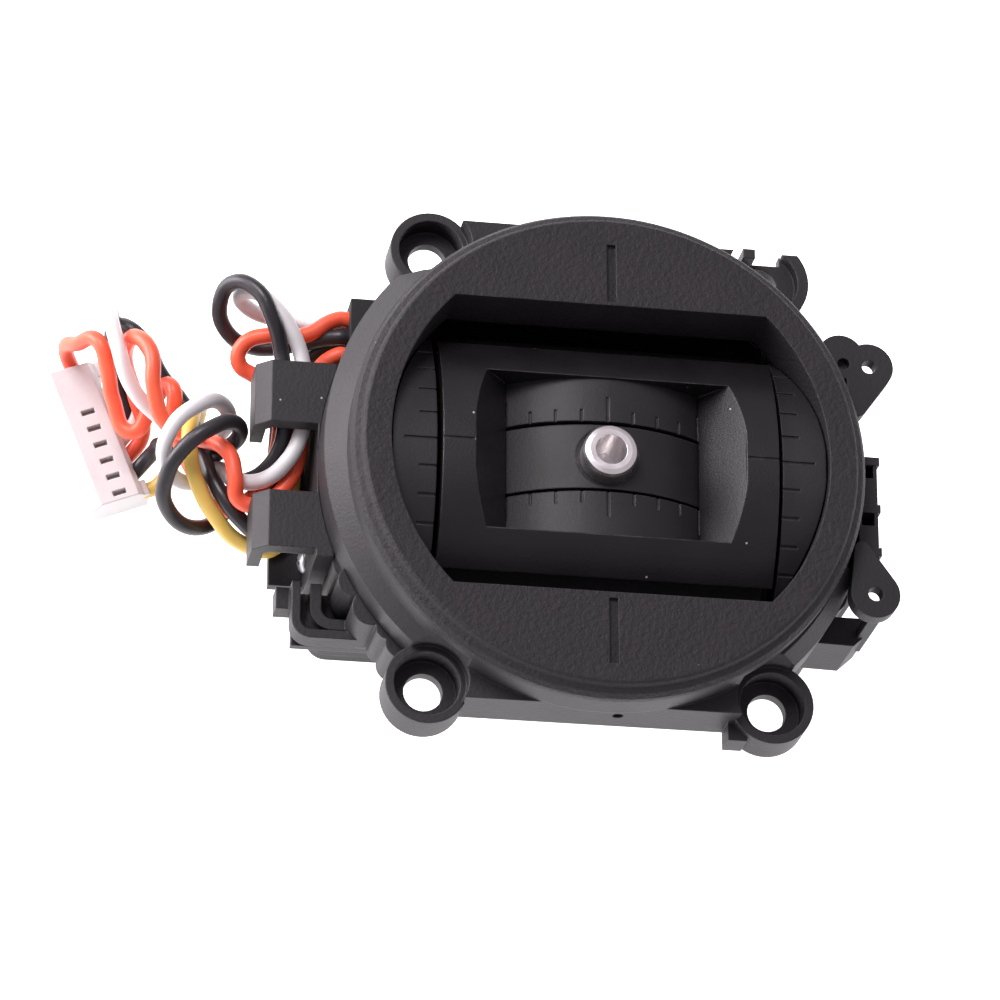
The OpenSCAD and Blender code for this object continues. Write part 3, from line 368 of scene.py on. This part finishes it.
class Recipe:
    """A Geometry Nodes tree with named inputs, and one method that makes any node."""

    KINDS = {int: "NodeSocketInt", float: "NodeSocketFloat", Vector: "NodeSocketVector"}

    def __init__(self, name, takes_mesh=False, **inputs):
        self.tree = bpy.data.node_groups.new(name, "GeometryNodeTree")
        face = self.tree.interface
        face.new_socket("Geometry", in_out="OUTPUT", socket_type="NodeSocketGeometry")
        if takes_mesh:
            face.new_socket("Geometry", in_out="INPUT", socket_type="NodeSocketGeometry")
        for label, value in inputs.items():
            face.new_socket(label, in_out="INPUT", socket_type=self.KINDS[type(value)]).default_value = value
        self.given = self.tree.nodes.new("NodeGroupInput").outputs

    def node(self, kind, settings=None, sockets=None, out=0):
        made = self.tree.nodes.new(kind)
        for key, value in (settings or {}).items():
            setattr(made, key, value)
        for key, value in (sockets or {}).items():
            for one in value if isinstance(value, list) else [value]:
                if isinstance(one, bpy.types.NodeSocket):
                    self.tree.links.new(one, made.inputs[key])
                else:
                    made.inputs[key].default_value = one
        return made.outputs[out]

    def close(self, geometry, material):
        """Ends the tree: instances become mesh, with the material."""
        whole = self.node("GeometryNodeRealizeInstances", {}, {"Geometry": geometry})
        done = self.node("GeometryNodeSetMaterial", {}, {"Geometry": whole, "Material": material})
        self.tree.links.new(done, self.tree.nodes.new("NodeGroupOutput").inputs[0])

    def make(self, name, points=(), **values):
        """A mesh object made by the tree, from points if it takes a mesh."""
        mesh = bpy.data.meshes.new(name)
        mesh.from_pydata(points, [], [])
        piece = bpy.data.objects.new(name, mesh)
        scene.collection.objects.link(piece)
        modifier = piece.modifiers.new(name, "NODES")
        modifier.node_group = self.tree
        for item in self.tree.interface.items_tree:
            if item.in_out == "INPUT" and item.name in values:
                modifier[item.identifier] = values[item.name]
        shape = bpy.data.meshes.new_from_object(piece.evaluated_get(bpy.context.evaluated_depsgraph_get()))
        piece.modifiers.remove(modifier)
        piece.data = shape
        shape.name = name
        return piece


def coil_recipe(material):
    """A tension spring along Z: an even coil of round wire that starts at the origin."""
    r = Recipe("coil_spring", Turns=14.0, Coil=0.00085, Wire=0.0002, Height=0.007)
    path = r.node("GeometryNodeCurveSpiral", {}, {
        "Resolution": 24, "Rotations": r.given["Turns"], "Start Radius": r.given["Coil"],
        "End Radius": r.given["Coil"], "Height": r.given["Height"]})
    section = r.node("GeometryNodeCurvePrimitiveCircle", {"mode": "RADIUS"}, {
        "Resolution": 10, "Radius": r.given["Wire"]})
    wire = r.node("GeometryNodeCurveToMesh", {}, {"Curve": path, "Profile Curve": section, "Fill Caps": True})
    r.close(wire, material)
    return r


def screw_recipe(material):
    """A pan-head screw at every point: domed head with a cross recess, washer face, grooved shank."""
    r = Recipe("pan_screw", takes_mesh=True, Head=0.001, Rise=0.0006, Shank=0.0006, Length=0.002,
               Thread=0.0004, Aim=Vector((0, 0, 1)), Seed=1)

    def times(value, factor):
        return r.node("ShaderNodeMath", {"operation": "MULTIPLY"}, {0: value, 1: factor})

    def vector(x, y, z):
        return r.node("ShaderNodeCombineXYZ", {}, {0: x, 1: y, 2: z})

    def moved(shape, x=0.0, y=0.0, z=0.0):
        return r.node("GeometryNodeTransform", {}, {"Geometry": shape, "Translation": vector(x, y, z)})

    head, rise, shank, length = (r.given[k] for k in ("Head", "Rise", "Shank", "Length"))
    ball = r.node("GeometryNodeMeshUVSphere", {}, {"Segments": 40, "Rings": 24, "Radius": 1.0})
    dome = r.node("GeometryNodeTransform", {}, {"Geometry": ball, "Scale": vector(head, head, rise)})
    drum = r.node("GeometryNodeMeshCylinder", {}, {
        "Vertices": 40, "Radius": times(head, 0.97), "Depth": rise})
    cap = r.node("GeometryNodeMeshBoolean", {"operation": "INTERSECT", "solver": "EXACT"}, {
        "Mesh 2": [dome, moved(drum, z=times(rise, 0.5))]})
    slot_long = r.node("GeometryNodeMeshCube", {}, {"Size": vector(times(head, 1.25), times(head, 0.24), rise)})
    slot_wide = r.node("GeometryNodeMeshCube", {}, {"Size": vector(times(head, 0.24), times(head, 1.25), rise)})
    crossed = r.node("GeometryNodeMeshBoolean", {"operation": "DIFFERENCE", "solver": "EXACT"}, {
        "Mesh 1": cap, "Mesh 2": [moved(slot_long, z=times(rise, 0.95)), moved(slot_wide, z=times(rise, 0.95))]})
    core = r.node("GeometryNodeMeshCylinder", {}, {
        "Vertices": 28, "Radius": times(shank, 0.86), "Depth": length})
    helix = r.node("GeometryNodeCurveSpiral", {}, {
        "Resolution": 20, "Rotations": r.node("ShaderNodeMath", {"operation": "DIVIDE"}, {
            0: times(length, 0.86), 1: r.given["Thread"]}),
        "Start Radius": times(shank, 0.88), "End Radius": times(shank, 0.88), "Height": times(length, 0.86)})
    ridge = r.node("GeometryNodeCurvePrimitiveCircle", {"mode": "RADIUS"}, {
        "Resolution": 6, "Radius": times(shank, 0.11)})
    thread = r.node("GeometryNodeCurveToMesh", {}, {"Curve": helix, "Profile Curve": ridge, "Fill Caps": True})
    whole = r.node("GeometryNodeJoinGeometry", {}, {"Geometry": [
        crossed, moved(core, z=times(length, -0.5)), moved(thread, z=times(length, -0.97))]})
    upright = r.node("FunctionNodeAlignRotationToVector", {"axis": "Z"}, {"Vector": r.given["Aim"]})
    twist = r.node("FunctionNodeRandomValue", {"data_type": "FLOAT"}, {
        2: 0.0, 3: math.pi / 2, "Seed": r.given["Seed"]}, out=1)
    spun = r.node("FunctionNodeRotateRotation", {"rotation_space": "LOCAL"}, {
        "Rotation": upright, "Rotate By": r.node("FunctionNodeAxisAngleToRotation", {}, {
            "Axis": (0, 0, 1), "Angle": twist})})
    spread = r.node("GeometryNodeInstanceOnPoints", {}, {
        "Points": r.given["Geometry"], "Instance": whole, "Rotation": spun})
    r.close(spread, material)
    return r


def stand_in(piece, body, node):
    """The piece rides on a body in place of a CAD node, which is hidden."""
    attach(piece, body)
    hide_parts(node)


COIL, SCREW = coil_recipe(SPRING), screw_recipe(STEEL)
COIL_WIRE = 0.2 * MM
for node_name, held, pulled in [("pitch_spring", "base", "pitch_lever"), ("roll_spring", "yoke", "roll_lever")]:
    low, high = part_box(node_name)
    foot = Vector(((low.x + high.x) / 2, (low.y + high.y) / 2, low.z + COIL_WIRE * 1.4))
    rise = high.z - low.z - 2.8 * COIL_WIRE
    spring = COIL.make(node_name + "_coil", Height=rise, Wire=COIL_WIRE, Coil=0.85 * MM, Turns=13.5)
    spring.data.transform(Matrix.Translation(foot))
    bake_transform(spring)
    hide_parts(node_name)


def ends(low, high, inset):
    """The two places inset mm in from both ends."""
    return (low + inset * MM, high - inset * MM)


def middle(low, high):
    return ((low + high) / 2,)


# The sizes are in mm: head radius, head height, shank radius, length under the head.
for node_name, new_name, body, aim, size, seed in [
    ("back_cover_screws", "back_cover_pan_screws", "base", (0, 0, -1), (1.7, 0.8, 0.75, 5), 3),
    ("guide_screws", "guide_pan_screws", "base", (-1, 0, 0), (1, 0.6, 0.6, 1.3), 5),
    ("roll_board_screws", "board_pan_screws", "yoke", (0, 1, 0), (0.8, 0.5, 0.36, 2.6), 8),
    ("tension_screw", "tension_pan_screw", "tension_screw", (0, 0, -1), (1.35, 0.8, 0.58, 6.6), 2),
]:
    low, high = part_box(node_name)
    head, rise, shank, length = size
    across = middle if node_name == "tension_screw" else lambda a, b: ends(a, b, head)
    if aim[2]:
        places = [(x, y, low.z + rise * MM) for x in across(low.x, high.x) for y in across(low.y, high.y)]
    elif aim[0]:
        places = [(low.x + rise * MM, y, (low.z + high.z) / 2) for y in across(low.y, high.y)]
    else:
        places = [(x, high.y - rise * MM, (low.z + high.z) / 2) for x in across(low.x, high.x)]
    screws = SCREW.make(new_name, places, Head=head * MM, Rise=rise * MM, Shank=shank * MM,
                        Length=length * MM, Aim=aim, Seed=seed)
    stand_in(screws, body, node_name)

# ---- Floor and light ----


def pale_floor():
    f = Finish("pale_floor", Roughness=0.9, Emission_Color=(1, 1, 1, 1), Emission_Strength=1.4)
    f.feed(Base_Color=f.mix(f.noise(60, 2), (0.90, 0.90, 0.90, 1), (0.93, 0.93, 0.93, 1)))
    mesh = bpy.data.meshes.new("floor")
    shape = bmesh.new()
    bmesh.ops.create_grid(shape, x_segments=2, y_segments=2, size=2.0)
    bmesh.ops.translate(shape, verts=shape.verts, vec=(0, 0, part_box("back_cover")[0].z))
    shape.to_mesh(mesh)
    mesh.materials.append(f.material)
    floor = bpy.data.objects.new("floor", mesh)
    scene.collection.objects.link(floor)


def softbox(name, toward, distance, size, power, tint=(1, 1, 1)):
    """A square soft light that shines on the object from a direction."""
    light = bpy.data.lights.new(name, "AREA")
    light.shape, light.size, light.energy, light.color = "SQUARE", size, power, tint
    lamp = bpy.data.objects.new(name, light)
    aim = Vector(toward).normalized()
    lamp.location = aim * distance
    lamp.rotation_mode = "QUATERNION"
    lamp.rotation_quaternion = aim.to_track_quat("Z", "Y")
    scene.collection.objects.link(lamp)


pale_floor()
softbox("key_softbox", (-0.39, 0.38, 0.82), 0.7, 0.30, 3.6, (1, 0.95, 0.98))
softbox("left_strip", (-0.9, 0.35, 0.16), 0.5, 0.3, 4.0, (1, 0.95, 1))
world = bpy.data.worlds.new("studio")
scene.world = world
world.use_nodes = True
world.node_tree.nodes["Background"].inputs["Color"].default_value = (1, 0.92, 1, 1)
world.node_tree.nodes["Background"].inputs["Strength"].default_value = 0.55
scene.view_settings.view_transform = "Standard"
